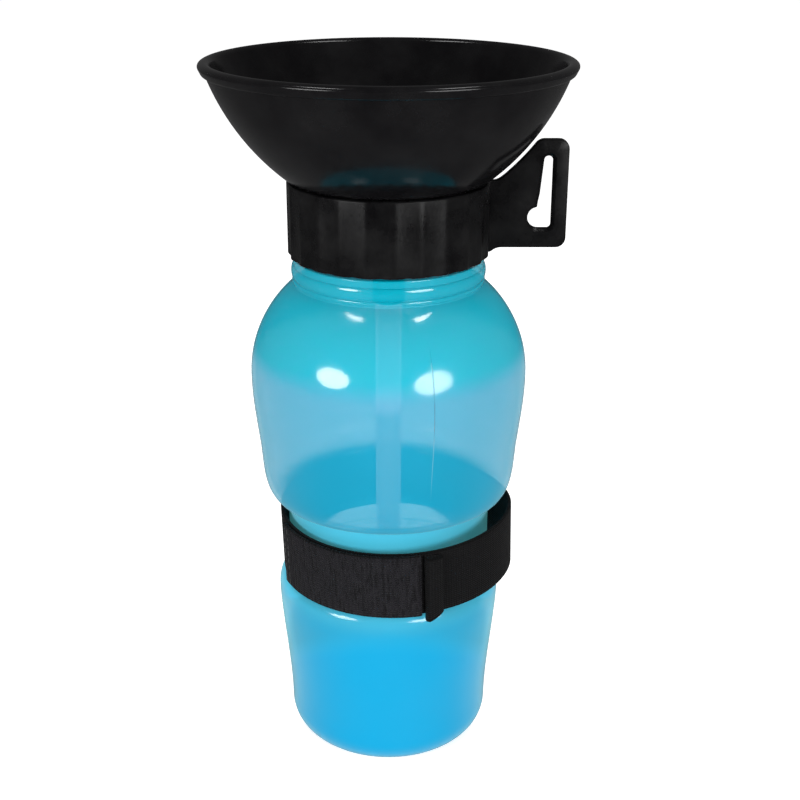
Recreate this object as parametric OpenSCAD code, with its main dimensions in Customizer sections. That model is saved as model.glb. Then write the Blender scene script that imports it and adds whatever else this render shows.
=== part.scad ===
// Travel water bottle for a dog: a squeeze bottle with a drinking bowl on top,
// held by a fluted screw collar with a hanging tab, and a hook-and-loop strap.
// Units are millimetres. The bottle stands on z = 0, its axis is z, the front is -y.

/* [Bottle] */
// Radius of the flat ring that the bottle stands on, outer edge
foot_r = 22.8; // [20:0.2:22.8]
// Width of that flat ring
foot_w = 2.8; // [2:0.2:5]
// Height of the hollow pressed up into the base
push_up_h = 4; // [2:0.5:6]
// Height of the rounded corner above the base
base_corner_h = 10; // [8:0.5:14]
// Radius of the lower body just above the base corner
body_low_r = 32.8; // [31.5:0.1:33.5]
// Radius of the lower body at its widest, under the strap
body_high_r = 36.1; // [35.5:0.1:37]
// Height where the lower body ends and the waist begins
body_top_z = 58.2; // [55:0.2:58.4]
// Radius of the waist that holds the strap
waist_r = 32.4; // [31.5:0.1:33]
// Height of the straight waist
waist_h = 26.6; // [26:0.2:27.4]
// Height of the ledge between the lower body and the waist
waist_ledge_h = 1.2; // [0.8:0.1:2.2]
// Radius of the bulb at its lower edge
bulb_low_r = 37.6; // [36.8:0.1:38.2]
// Height of the step from the waist out to the bulb
bulb_step_h = 2.6; // [2.2:0.1:4]
// Radius of the bulb at its widest
bulb_r = 42.95; // [41.5:0.05:44]
// Height of the widest place of the bulb
bulb_wide_z = 128; // [122:1:132]
// Height where the shoulder meets the neck
shoulder_z = 156.6; // [155:0.2:157]
// How far the plain neck below the collar stands out past the mouth
neck_out = 2.1; // [1.8:0.1:2.3]
// How far the wide bead round the neck stands out
bead_out = 0.6; // [0.3:0.1:0.9]
// Height of the wide bead
bead_h = 4; // [3:0.1:4.2]
// Height of the middle of the wide bead
bead_z = 162.2; // [162.1:0.1:162.3]
// How far the narrow bead below it stands out
low_bead_out = 0.4; // [0.2:0.1:0.7]
// Height of the narrow bead
low_bead_h = 1.8; // [1.2:0.1:2]
// Height of the middle of the narrow bead
low_bead_z = 158.9; // [158.4:0.1:159]
// Height of the top of the plain neck, just under the collar
neck_top_z = 164.7; // [164.5:0.1:165]
// How far the threaded mouth stands out past the bowl's neck
mouth_out = 1; // [0.8:0.1:1.2]
// Height of the mouth's rim
mouth_z = 181; // [180:0.5:182]
// Wall of the bottle's body
bottle_wall = 1.3; // [0.9:0.1:1.8]
// Wall of the mouth
mouth_wall = 1.6; // [1.2:0.1:1.9]

/* [Bowl] */
// Outer radius of the bowl's rim
rim_r = 55.2; // [54:0.1:57]
// Height of the rim's band
rim_h = 3.8; // [3:0.1:5]
// Overall height to the top of the rim
rim_top_z = 223; // [218:0.5:228]
// Radius of the bowl's outside just under the rim
bowl_top_r = 52.9; // [51.5:0.1:53.2]
// How far the bowl's foot stands in from the collar's ridges
bowl_foot_in = 0.2; // [0:0.1:0.8]
// Bulge of the bowl's side over its chord
bowl_bulge = 2.7; // [1.5:0.1:4]
// Wall of the bowl
bowl_wall = 2.2; // [1.6:0.1:2.8]
// Radius of the bowl's neck, inside the collar's top
bowl_neck_r = 26; // [25.6:0.1:26]
// Wall of the bowl's neck and of the plug below it
plug_wall = 1.7; // [1.3:0.1:2.2]
// Length of the plug that reaches down into the mouth
plug_l = 8; // [7:0.5:12]
// Thickness of the foot flange that the collar presses down
flange_t = 2.7; // [1.8:0.1:3]
// How far the foot flange stands out past the bowl's neck
flange_out = 1.6; // [1.2:0.1:1.8]
// Thickness of the bowl's floor
floor_t = 2; // [1.6:0.1:2.6]
// Number of ribs under the floor
rib_count = 6; // [4:1:8]
// Thickness of a rib
rib_t = 1.4; // [1:0.1:2]
// Depth of a rib
rib_h = 3.4; // [2:0.1:5]
// Radial clearance of the plug in the mouth
plug_gap = 0.3; // [0.25:0.05:0.5]

/* [Gasket] */
// Thickness of the gasket
gasket_t = 1.4; // [1:0.1:2]
// Radial clearance of the gasket round the plug
gasket_gap = 0.06; // [0.03:0.01:0.1]

/* [Collar] */
// Radial clearance between the bowl's foot flange and the collar
flange_gap = 0.6; // [0.4:0.05:0.8]
// Height of the collar
collar_h = 22.6; // [22:0.1:23]
// Thickness of the collar's wall at its ridges
collar_wall = 2.3; // [2:0.05:2.4]
// Number of flutes round the collar
flute_count = 24; // [16:1:36]
// Depth of a flute
flute_d = 0.9; // [0.6:0.05:1.1]
// Share of the pitch that a flute takes
flute_share = 0.88; // [0.7:0.01:0.94]
// Height of the plain band above the flutes
flute_end = 0.7; // [0.4:0.1:2]
// Height over which a flute runs out at its top
flute_run = 1.6; // [0.8:0.1:4]
// Turn of the first ridge from the front
flute_turn = 3; // [0:0.5:15]
// Thickness of the collar's top flange
collar_top_t = 2.6; // [2:0.1:2.8]
// Clearance above and below the collar's top flange
collar_gap = 0.3; // [0.25:0.05:0.4]
// Radial clearance of the collar's top round the bowl's neck
collar_hole_gap = 0.3; // [0.25:0.05:0.4]

/* [Hanging tab] */
// Reach of the tab from the axis
tab_reach = 53.5; // [51:0.1:53.8]
// Thickness of the tab
tab_t = 3; // [2.4:0.1:4]
// Height of the tab's lower edge
tab_low_z = 167.2; // [166.5:0.1:168.5]
// Width of the tab's upper edge, from its outer side to the bowl's slope
tab_top_w = 10; // [8:0.1:12]
// Radius of the tab's two outer corners
tab_corner_r = 3; // [1.5:0.1:4]
// Clear space between the tab's sloping edge and the bowl
tab_bowl_gap = 2; // [1.2:0.1:2.6]
// Width of the straight stretch of the slot
slot_w = 2.6; // [2:0.1:3.2]
// How much wider the slot is where it meets its lobe
slot_flare_w = 1.8; // [0.5:0.1:2.4]
// Distance from the tab's outer edge to the slot
slot_margin = 4.7; // [4:0.1:5.5]
// Radius of the slot's round lobe
lobe_r = 3.1; // [2.8:0.1:3.4]
// Height of the lobe's centre above the tab's lower edge
lobe_up = 9.1; // [8.6:0.1:10]
// Distance from the tab's upper edge to the centre of the slot's top end
slot_top_margin = 6.3; // [5:0.1:8]
// Width of the bevel round the slot on both faces of the tab
slot_bevel = 0.9; // [0.5:0.1:1.2]

/* [Dip tube] */
// Outer radius of the dip tube
tube_r = 4; // [3.5:0.1:4.5]
// Wall of the dip tube
tube_wall = 0.9; // [0.6:0.1:1.2]
// Length of the tube
tube_l = 142; // [120:1:175]
// Depth of the slanted cut at the tube's lower end
tube_cut = 5; // [2:0.5:8]
// Length of the tube that sits in its socket
tube_grip = 38; // [30:0.5:42]
// Wall of the socket
socket_wall = 0.9; // [0.7:0.1:1.4]
// Radial clearance of the tube in its socket
tube_gap = 0.05; // [0.02:0.01:0.1]

/* [Shut-off] */
// Radius of the spigot on the bowl's floor
spigot_r = 8; // [7.5:0.1:8.5]
// Height of the spigot above the floor
spigot_h = 11.2; // [11:0.1:12.5]
// Radius of the water channel
channel_r = 2.6; // [2:0.1:2.8]
// Radius of the side port
port_r = 2; // [1.5:0.1:2.1]
// Height of the port above the floor
port_up = 5.8; // [5.6:0.1:6]
// Distance of each seal ring from the port
seal_away = 3.5; // [3.3:0.1:3.6]
// Radius of the seal rings' section
seal_r = 0.8; // [0.6:0.05:0.9]
// How far the snap bead stands out of the spigot
snap_out = 0.5; // [0.3:0.05:0.7]
// Height of the snap bead
snap_h = 0.8; // [0.6:0.1:1]
// Wall of the dial
dial_wall = 2.4; // [2:0.1:3]
// Running clearance of the dial round the spigot
dial_gap = 0.08; // [0.04:0.01:0.1]
// Height of the dial's grip bar
grip_h = 4.4; // [3:0.1:5]
// Thickness of the grip bar
grip_t = 3.6; // [2.5:0.1:5]
// Number of finger scallops round the dial
scallop_count = 16; // [8:1:24]

/* [Strap] */
// Width of the strap
strap_w = 21.5; // [20:0.1:21.6]
// Height of the strap's middle
strap_z = 72.6; // [72.4:0.1:73]
// Thickness of the webbing
strap_t = 1.2; // [0.8:0.1:1.2]
// Tilt of the strap, right side up
strap_tilt = 1.6; // [0:0.1:1.8]
// Tilt of the strap, rear up
strap_rise = 2.5; // [0:0.1:2.6]
// Least clearance between the strap and the waist
strap_gap = 0.6; // [0.3:0.05:0.8]
// Slack of the strap towards the right
slack_x = 2.7; // [1.5:0.1:3]
// Slack of the strap towards the front
slack_y = 0.4; // [0:0.1:0.8]
// Extra length of the loop from right to left
slack_oval = 0.15; // [0:0.05:0.6]
// Thickness of the hook tape
hook_t = 1.2; // [1:0.1:1.6]
// Clearance between the two layers
layer_gap = 0.25; // [0.2:0.05:0.35]
// Angle of the hook tape's sewn end, from the front to the left
hook_from = 65; // [56:1:78]
// Angle of the hook tape's free end, from the front to the right
hook_to = 15; // [5:1:25]
// Length of the folded pull end, as an angle
pull_turn = 8; // [6:0.5:12]
// Thickness of the folded pull end
pull_t = 2.4; // [1.8:0.1:3]
// How far the pull end stands above and below the hook tape
pull_over = 0.6; // [0:0.1:0.8]

/* [Hidden] */
$fn = 96;
eps = 0.01;
steps = 10;
slope = 0.45;
waist_low_z = body_top_z + waist_ledge_h;
waist_high_z = waist_low_z + waist_h;
bulb_low_z = waist_high_z + bulb_step_h;
mouth_r = bowl_neck_r + mouth_out;
mouth_bore_r = mouth_r - mouth_wall;
neck_r = mouth_r + neck_out;
plug_r = mouth_bore_r - plug_gap;
flange_low_z = mouth_z + gasket_t;
flange_top_z = flange_low_z + flange_t;
collar_under_z = flange_top_z + collar_gap;
collar_top_z = collar_under_z + collar_top_t;
collar_low_z = collar_top_z - collar_h;
collar_bore_r = bowl_neck_r + flange_out + flange_gap;
collar_r = collar_bore_r + collar_wall;
bowl_low_r = collar_r - bowl_foot_in;
bowl_under_z = collar_top_z + collar_gap;
floor_z = bowl_under_z + floor_t;
wall_top_z = rim_top_z - rim_h;
tube_top_z = bowl_under_z - collar_gap;
tube_low_z = tube_top_z - tube_l;
socket_bore_r = tube_r + tube_gap;
socket_r = socket_bore_r + socket_wall;
socket_low_z = tube_top_z - tube_grip;
port_z = floor_z + port_up;
spigot_top_z = floor_z + spigot_h;
channel_top_z = port_z + port_r + 0.3;
seal_mid_r = spigot_r - seal_r;
groove_r = spigot_r - 2 * seal_r - 0.1;
groove_h = 2 * seal_r + 0.2;
snap_z = floor_z + 0.9;
dial_low_z = floor_z + collar_gap;
dial_bore_r = spigot_r + dial_gap;
dial_r = dial_bore_r + snap_out + dial_wall;
dial_in_z = spigot_top_z + collar_gap;
dial_top_z = dial_in_z + 2;
strap_lean = strap_w / 2 * sin(norm([strap_tilt, strap_rise]));
strap_tight = min([for (a = [0 : 5 : 355]) strap_slack(a)]);
strap_mid_r = waist_r + strap_gap + strap_lean + strap_t / 2 - strap_tight;
slot_right_x = tab_reach - slot_margin;
slot_mid_x = slot_right_x - slot_w / 2;
lobe_x = slot_right_x - slot_w / 2 - 2.6;
bowl_foot = [bowl_low_r, bowl_under_z];
bowl_rim = [bowl_top_r, wall_top_z];
tab_high_z = bulge_z(bowl_foot, bowl_rim, bowl_bulge, tab_bowl_gap, tab_reach - tab_top_w) + 1.4;
lobe_z = tab_low_z + lobe_up;
slot_top_z = min(tab_high_z - slot_top_margin, lobe_z + 1.15 * (slot_mid_x - slot_w / 2 - collar_r));

// Points along a cubic curve from a to d, without a itself
function curve(a, b, c, d, n = steps) =
    [for (i = [1 : n]) let (t = i / n, s = 1 - t)
        s * s * s * a + 3 * s * s * t * b + 3 * s * t * t * c + t * t * t * d];

// Points along a circular arc, ends included
function arc(x, z, r, from, to, n = steps) =
    [for (i = [0 : n]) let (a = from + (to - from) * i / n) [x + r * cos(a), z + r * sin(a)]];

// Point and centre of the flat arc that bulges out from the chord a to b
function bulge_r(a, b, h) = (norm(b - a) * norm(b - a) / 4 + h * h) / (2 * h);
function bulge_arc(a, b, h, inset_by, n = 14) =
    let (r = bulge_r(a, b, h),
         along = (b - a) / norm(b - a),
         out = [along[1], -along[0]],
         mid = (a + b) / 2 - out * (r - h),
         half = asin(norm(b - a) / 2 / r),
         turn = atan2(out[1], out[0]))
    [for (i = [0 : n]) let (q = turn - half + 2 * half * i / n)
        mid + (r - inset_by) * [cos(q), sin(q)]];

// Height of that arc, moved out by away, at x
function bulge_z(a, b, h, away, x) =
    let (r = bulge_r(a, b, h),
         along = (b - a) / norm(b - a),
         mid = (a + b) / 2 - [along[1], -along[0]] * (r - h))
    mid[1] - sqrt(pow(r + away, 2) - pow(x - mid[0], 2));

// A path moved to its left by t, which is inwards for an outline that runs up
function moved_in(path, t) =
    [for (i = [0 : len(path) - 1])
        let (p = path[max(i - 1, 0)],
             q = path[min(i + 1, len(path) - 1)],
             d = (q - p) / norm(q - p))
        [max(0, path[i][0] - t * d[1]), path[i][1] + t * d[0]]];

function reversed(path) = [for (i = [len(path) - 1 : -1 : 0]) path[i]];

// Outside of the bottle from the middle of its base to the foot of the neck
function bottle_outline() =
    let (foot_in = foot_r - foot_w,
         side_h = body_top_z - base_corner_h,
         bulb_h = bulb_wide_z - bulb_low_z,
         top_h = shoulder_z - bulb_wide_z)
    concat(
        [[0, push_up_h]],
        curve([0, push_up_h], [foot_in * 0.5, push_up_h], [foot_in * 0.75, 0.4], [foot_in, 0]),
        [[foot_r, 0]],
        curve([foot_r, 0], [foot_r + (body_low_r - foot_r) * 0.56, 0],
              [body_low_r, base_corner_h * slope], [body_low_r, base_corner_h]),
        curve([body_low_r, base_corner_h], [body_low_r, base_corner_h + side_h * 0.3],
              [body_high_r, body_top_z - side_h * 0.3], [body_high_r, body_top_z - 1.5]),
        curve([body_high_r, body_top_z - 1.5], [body_high_r, body_top_z + 0.8],
              [waist_r + 0.6, body_top_z + 0.6], [waist_r, waist_low_z], 8),
        [[waist_r, waist_high_z - 1]],
        curve([waist_r, waist_high_z - 1], [waist_r, waist_high_z + 1.8],
              [bulb_low_r - 1.2, bulb_low_z - 1.4], [bulb_low_r, bulb_low_z], 6),
        curve([bulb_low_r, bulb_low_z], [bulb_low_r + 2.6, bulb_low_z + 3],
              [bulb_low_r + 2.6, bulb_low_z + 9],
              [bulb_low_r + (bulb_r - bulb_low_r) * 0.6, bulb_low_z + bulb_h * 0.4], 8),
        curve([bulb_low_r + (bulb_r - bulb_low_r) * 0.6, bulb_low_z + bulb_h * 0.4],
              [bulb_low_r + (bulb_r - bulb_low_r) * 0.85, bulb_low_z + bulb_h * 0.68],
              [bulb_r, bulb_low_z + bulb_h * 0.8], [bulb_r, bulb_wide_z], 8),
        curve([bulb_r, bulb_wide_z], [bulb_r, bulb_wide_z + top_h * 0.43],
              [neck_r + 7.4, shoulder_z - 6.1], [neck_r + 0.6, shoulder_z - 0.5], 12),
        [[neck_r, shoulder_z]]);

// Half-round bead on the neck, from below
function bead(z, out, h) =
    [for (p = arc(0, 0, 1, -90, 90, 8)) [neck_r + out * p[0], z + h / 2 * p[1]]];

module bottle() {
    outside = bottle_outline();
    inside = moved_in(outside, bottle_wall);
    color("deepskyblue")
    rotate_extrude()
    polygon(concat(
        outside,
        bead(low_bead_z, low_bead_out, low_bead_h),
        bead(bead_z, bead_out, bead_h),
        [[neck_r, neck_top_z - 0.4], [neck_r - 0.4, neck_top_z]],
        [[mouth_r, neck_top_z], [mouth_r, mouth_z - 0.6], [mouth_r - 0.6, mouth_z]],
        [[mouth_bore_r, mouth_z], [mouth_bore_r, shoulder_z + 1.5]],
        reversed(inside)));
}

module mouth_gasket() {
    color("whitesmoke")
    translate([0, 0, mouth_z])
    difference() {
        cylinder(h = gasket_t, r = mouth_r);
        translate([0, 0, -1])
        cylinder(h = gasket_t + 2, r = plug_r + gasket_gap);
    }
}

// Section of the bowl with its rim, floor, neck, foot flange, plug and socket
module bowl_section() {
    low = [bowl_low_r, bowl_under_z + 0.3];
    high = [bowl_top_r, wall_top_z];
    plug_in_r = plug_r - plug_wall;
    outer = bulge_arc(low, high, bowl_bulge, 0);
    inner = bulge_arc(low, high, bowl_bulge, bowl_wall);
    inside = [for (p = inner) if (p[1] > floor_z + 0.4 && p[1] < wall_top_z) p];
    lip_in = bowl_top_r - bowl_wall;
    polygon(concat(
        [[socket_bore_r, socket_low_z], [socket_r, socket_low_z]],
        [[socket_r, bowl_under_z], [plug_in_r, bowl_under_z]],
        [[plug_in_r, flange_low_z - plug_l], [plug_r - 0.5, flange_low_z - plug_l]],
        [[plug_r, flange_low_z - plug_l + 1.5], [plug_r, flange_low_z]],
        [[bowl_neck_r + flange_out, flange_low_z], [bowl_neck_r + flange_out, flange_top_z]],
        [[bowl_neck_r, flange_top_z], [bowl_neck_r, bowl_under_z]],
        [[bowl_low_r - 0.8, bowl_under_z]],
        outer,
        [[rim_r - 0.6, wall_top_z]],
        arc(rim_r - 0.8, wall_top_z + 0.8, 0.8, -60, 0, 3),
        arc(rim_r - 1.2, rim_top_z - 1.2, 1.2, 0, 90, 5),
        arc(lip_in + 1.2, rim_top_z - 1.2, 1.2, 90, 180, 5),
        reversed(inside),
        [[inside[0][0] - 1.1, floor_z]],
        [[spigot_r, floor_z], [spigot_r, snap_z - snap_h / 2]],
        [[spigot_r + snap_out, snap_z], [spigot_r, snap_z + snap_h / 2]],
        groove_points(port_z - seal_away),
        groove_points(port_z + seal_away),
        [[spigot_r, spigot_top_z - 0.4], [spigot_r - 0.4, spigot_top_z], [0, spigot_top_z]],
        [[0, channel_top_z], [channel_r, channel_top_z], [channel_r, tube_top_z + 0.1]],
        [[socket_bore_r, tube_top_z + 0.1]]));
}

// Points of a square groove round the spigot, from below
function groove_points(z) =
    [[spigot_r, z - groove_h / 2], [groove_r, z - groove_h / 2],
     [groove_r, z + groove_h / 2], [spigot_r, z + groove_h / 2]];

module bowl() {
    rib_from = socket_r - 0.3;
    rib_to = plug_r - plug_wall + 0.3;
    color([0.1, 0.1, 0.11])
    union() {
        difference() {
            rotate_extrude()
            bowl_section();
            translate([0, 0, port_z])
            rotate([90, 0, 0])
            cylinder(h = spigot_r + 1, r = port_r, $fn = 32);
        }
        for (i = [0 : rib_count - 1])
            rotate([0, 0, (i + 0.5) * 360 / rib_count])
            translate([rib_from, -rib_t / 2, bowl_under_z - rib_h])
            cube([rib_to - rib_from, rib_t, rib_h + eps]);
    }
}

// Cutters that leave the collar's flutes, which meet in narrow ridges
module flutes() {
    half = 180 / flute_count * flute_share;
    away = flute_d * (2 * collar_r - flute_d) / (2 * (flute_d - collar_r * (1 - cos(half))));
    cut_r = away - collar_r + flute_d;
    for (i = [0 : flute_count - 1])
        rotate([0, 0, flute_turn - 90 + (i + 0.5) * 360 / flute_count])
        translate([away, 0, collar_low_z - 1]) {
            cylinder(h = collar_h + 1 - flute_end - flute_run, r = cut_r, $fn = 64);
            translate([0, 0, collar_h + 1 - flute_end - flute_run - eps])
            cylinder(h = flute_run, r1 = cut_r, r2 = cut_r - flute_d, $fn = 64);
        }
}

// Outline of the tab in its own plane, x outwards and y upwards
module tab_outline() {
    edge = [for (p = bulge_arc(bowl_foot, bowl_rim, bowl_bulge, -tab_bowl_gap, 24))
        if (p[1] > collar_top_z + 0.5 && p[1] < tab_high_z - 1) p];
    last = edge[len(edge) - 1];
    polygon(concat(
        [[collar_bore_r + 0.8, tab_low_z]],
        arc(tab_reach - tab_corner_r, tab_low_z + tab_corner_r, tab_corner_r, -90, 0, 6),
        arc(tab_reach - tab_corner_r, tab_high_z - tab_corner_r, tab_corner_r, 0, 90, 6),
        [[last[0] + 2.4, tab_high_z], [last[0] + 1.1, tab_high_z - 0.4]],
        reversed(edge),
        [[collar_r + 2, collar_top_z - 0.4], [collar_bore_r + 0.8, collar_top_z - 0.4]]));
}

// Opening of the tab: a narrow slot with a round lobe at its lower end
module tab_slot() {
    translate([slot_mid_x, slot_top_z])
    circle(r = slot_w / 2, $fn = 48);
    translate([lobe_x, lobe_z])
    circle(r = lobe_r, $fn = 64);
    translate([slot_right_x - 1.2, lobe_z - lobe_r + 1.2])
    circle(r = 1.2, $fn = 32);
    polygon([[slot_right_x - slot_w, slot_top_z],
             [slot_right_x - slot_w - slot_flare_w * 0.5, lobe_z + lobe_r + slot_flare_w * 2.4],
             [slot_right_x - slot_w - slot_flare_w, lobe_z + lobe_r], [lobe_x, lobe_z],
             [lobe_x, lobe_z - lobe_r], [slot_right_x - 1.2, lobe_z - lobe_r],
             [slot_right_x, lobe_z - lobe_r + 1.2], [slot_right_x, slot_top_z]]);
}

// Bevel of the slot on the tab's front face, widening towards it
module slot_flare() {
    deep = 0.7 * slot_bevel;
    for (y = [0, 1])
        translate([0, 0, tab_t * y])
        mirror([0, 0, y])
        translate([0, 0, -eps]) {
            translate([lobe_x, lobe_z])
            cylinder(h = deep, r1 = lobe_r + slot_bevel, r2 = lobe_r, $fn = 64);
            hull() {
                translate([slot_mid_x, slot_top_z])
                cylinder(h = deep, r1 = slot_w / 2 + slot_bevel, r2 = slot_w / 2, $fn = 48);
                translate([slot_mid_x, lobe_z - lobe_r + slot_w / 2])
                cylinder(h = deep, r1 = slot_w / 2 + slot_bevel, r2 = slot_w / 2, $fn = 48);
            }
        }
}

module screw_collar() {
    hole_r = bowl_neck_r + collar_hole_gap;
    color([0.12, 0.12, 0.13])
    union() {
        difference() {
            rotate_extrude()
            polygon([[collar_bore_r + 0.6, collar_low_z], [collar_r - 0.7, collar_low_z],
                     [collar_r, collar_low_z + 0.7], [collar_r, collar_top_z - 0.6],
                     [collar_r - 0.6, collar_top_z], [hole_r, collar_top_z],
                     [hole_r, collar_under_z], [collar_bore_r, collar_under_z],
                     [collar_bore_r, collar_low_z + 0.6]]);
            flutes();
        }
        translate([0, tab_t / 2, 0])
        rotate([90, 0, 0])
        difference() {
            linear_extrude(height = tab_t)
            difference() {
                tab_outline();
                tab_slot();
            }
            slot_flare();
        }
    }
}

module dip_tube() {
    color([0.75, 0.9, 0.95])
    difference() {
        translate([0, 0, tube_low_z])
        cylinder(h = tube_top_z - tube_low_z, r = tube_r);
        translate([0, 0, tube_low_z - 1])
        cylinder(h = tube_top_z - tube_low_z + 2, r = tube_r - tube_wall);
        translate([-tube_r, 0, tube_low_z])
        rotate([0, -atan(tube_cut / 2 / tube_r), 0])
        translate([-20, -20, -40])
        cube([60, 40, 40]);
    }
}

module shutoff_dial() {
    snap_r = dial_bore_r + snap_out;
    color([0.16, 0.16, 0.17])
    union() {
        difference() {
            rotate_extrude()
            polygon([[dial_bore_r, dial_low_z], [dial_r, dial_low_z],
                     [dial_r, dial_top_z - 1.2], [dial_r - 1.2, dial_top_z],
                     [0, dial_top_z], [0, dial_in_z], [dial_bore_r, dial_in_z],
                     [dial_bore_r, snap_z + snap_h / 2 + dial_gap],
                     [snap_r, snap_z + dial_gap], [snap_r, snap_z - dial_gap],
                     [dial_bore_r, snap_z - snap_h / 2 - dial_gap]]);
            for (i = [0 : scallop_count - 1])
                rotate([0, 0, (i + 0.5) * 360 / scallop_count])
                translate([dial_r + 0.9, 0, dial_low_z - 1])
                cylinder(h = dial_top_z - dial_low_z + 2, r = 1.5, $fn = 24);
            translate([0, 0, port_z])
            rotate([0, -90, 0])
            cylinder(h = dial_r + 1, r = port_r + 0.2, $fn = 32);
        }
        translate([-dial_r + 2, -grip_t / 2, dial_top_z - eps])
        cube([2 * dial_r - 4, grip_t, grip_h]);
        for (side = [-1, 1])
            translate([side * (dial_r - 2), 0, dial_top_z - eps])
            cylinder(h = grip_h, r = grip_t / 2, $fn = 32);
    }
}

module seal_rings() {
    color([0.85, 0.85, 0.82])
    for (side = [-1, 1])
        translate([0, 0, port_z + side * seal_away])
        rotate_extrude()
        translate([seal_mid_r, 0])
        circle(r = seal_r, $fn = 24);
}

// Slack of the loop at angle a, and the distance of its middle line from the axis
function strap_slack(a) = slack_x * cos(a) - slack_y * sin(a) + slack_oval * cos(2 * a);
function strap_r(a) = strap_mid_r + strap_slack(a);

// Points beside the strap's middle line, out by d, between two angles
function strap_side(d, from, to, n) =
    [for (i = [0 : n]) let (a = from + (to - from) * i / n) (strap_r(a) + d) * [cos(a), sin(a)]];

// A piece of the strap between two distances and two angles
module strap_piece(d1, d2, from, to, w, n) {
    translate([0, 0, strap_z])
    rotate([strap_rise, -strap_tilt, 0])
    translate([0, 0, -w / 2])
    linear_extrude(height = w)
    polygon(concat(strap_side(d2, from, to, n), reversed(strap_side(d1, from, to, n))));
}

module strap_band() {
    color([0.13, 0.13, 0.14])
    translate([0, 0, strap_z])
    rotate([strap_rise, -strap_tilt, 0])
    translate([0, 0, -strap_w / 2])
    linear_extrude(height = strap_w)
    difference() {
        polygon(strap_side(strap_t / 2, 0, 355, 71));
        polygon(strap_side(-strap_t / 2, 0, 355, 71));
    }
}

module hook_tape() {
    from = strap_t / 2 + layer_gap;
    color([0.08, 0.08, 0.09])
    strap_piece(from, from + hook_t, -90 - hook_from, -90 + hook_to, strap_w, 24);
}

module pull_end() {
    from = strap_t / 2 + layer_gap;
    color([0.1, 0.1, 0.11])
    strap_piece(from, from + pull_t, -90 + hook_to, -90 + hook_to + pull_turn,
                strap_w + 2 * pull_over, 4);
}

bottle();
mouth_gasket();
bowl();
screw_collar();
dip_tube();
shutoff_dial();
seal_rings();
strap_band();
hook_tape();
pull_end();
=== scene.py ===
from functools import partialmethod
from math import atan2, cos, hypot, pi, radians, sin, sqrt, tau

import bmesh
import bpy
from bpy.props import FloatProperty, FloatVectorProperty, IntProperty, PointerProperty
from mathutils import Matrix, Vector
from mathutils.geometry import interpolate_bezier
from mathutils.kdtree import KDTree


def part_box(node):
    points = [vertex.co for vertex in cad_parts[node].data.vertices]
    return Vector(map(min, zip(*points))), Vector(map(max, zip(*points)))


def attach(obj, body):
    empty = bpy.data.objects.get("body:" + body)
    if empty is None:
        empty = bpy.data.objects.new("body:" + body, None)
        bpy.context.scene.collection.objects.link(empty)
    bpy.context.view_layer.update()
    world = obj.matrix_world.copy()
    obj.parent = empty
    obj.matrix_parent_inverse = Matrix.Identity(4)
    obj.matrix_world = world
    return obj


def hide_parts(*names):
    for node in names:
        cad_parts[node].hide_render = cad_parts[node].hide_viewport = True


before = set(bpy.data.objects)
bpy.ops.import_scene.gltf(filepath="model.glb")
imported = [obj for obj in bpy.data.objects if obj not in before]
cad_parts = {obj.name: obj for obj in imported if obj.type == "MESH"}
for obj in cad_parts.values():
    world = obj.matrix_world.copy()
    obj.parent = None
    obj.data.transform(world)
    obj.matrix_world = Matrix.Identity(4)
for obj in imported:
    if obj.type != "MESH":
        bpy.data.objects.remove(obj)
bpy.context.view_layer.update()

bl_info = {
    "name": "Dog Travel Water Bottle",
    "version": (1, 0, 0),
    "blender": (4, 5, 0),
    "location": "3D View > Sidebar > Water Bottle",
    "description": "Builds a squeeze bottle with a drinking bowl, screw collar and strap",
    "category": "Object",
}

MM = 0.001
WELD = 0.000002
BOWL_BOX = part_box("bowl")
BOTTLE_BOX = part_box("bottle")
COLLAR_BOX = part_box("screw_collar")
TUBE_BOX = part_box("dip_tube")
DIAL_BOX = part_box("shutoff_dial")
GASKET_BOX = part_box("mouth_gasket")

# The neck's beads: height of the middle, how far out and how high, in mm
BEADS = ((157.8, 0.35, 1.4), (160.6, 0.6, 3.8))
BOWL_GAP = 0.3 * MM     # between the collar's top and the bowl
TUBE_GAP = 0.05 * MM    # between the tube and its socket
PORT_RISE = 5.8 * MM    # from the bowl's floor to the middle of the spigot's port
RING_STEP = 3.5 * MM    # from the port to either seal ring
RING_RADIUS = 7.2 * MM  # of a seal ring's middle line
RING_THICK = 0.8 * MM   # radius of the ring's own section
DIAL_NOTCHES = 16
STITCHES = 8            # in each of the two rows
TAPE_BASE = 36 * MM     # radius at which a tape is spun before it is laid in the waist
TAPE_RADIUS = 37 * MM   # mean radius of the strap, for lengths along it

# Name, direction from the bottle, size and power; the distance is the same for all
LAMPS = (("window_left", (-0.67, -0.655, 0.185), (0.43, 0.27), 5.0),
         ("window_right", (0.54, -0.735, 0.15), (0.50, 0.32), 5.6),
         ("lamp_left", (-0.37, -0.11, 0.90), (0.34, 0.14), 2.4),
         ("lamp_right", (0.37, -0.11, 0.90), (0.34, 0.14), 2.4))
LAMP_DISTANCE = 0.9
CAMERA_PLACE = (0, -0.4005, 0.2742)
CAMERA_PITCH = 0.381    # radians below the horizon
FLOOR_DROP = 0.0002     # of the floor below the bottle, in metres

# Strength of the room as a light, what the camera sees on top of it, and what gloss loses
ROOM_LIGHT = 0.43
ROOM_SEEN = 0.57
ROOM_GLOSS = -0.33


# --- Sizes and colours that a user would change -----------------------------------------

def length(name, description, default):
    """A length in metres, as a property."""
    return FloatProperty(
        name=name, description=description, default=default,
        unit="LENGTH", subtype="DISTANCE", precision=5)


def turn(name, description, default):
    """An angle in radians, as a property."""
    return FloatProperty(name=name, description=description, default=default, subtype="ANGLE")


def share(name, description, default):
    """A share from 0 to 1, as a property."""
    return FloatProperty(
        name=name, description=description, default=default, min=0, max=1, subtype="FACTOR")


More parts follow.
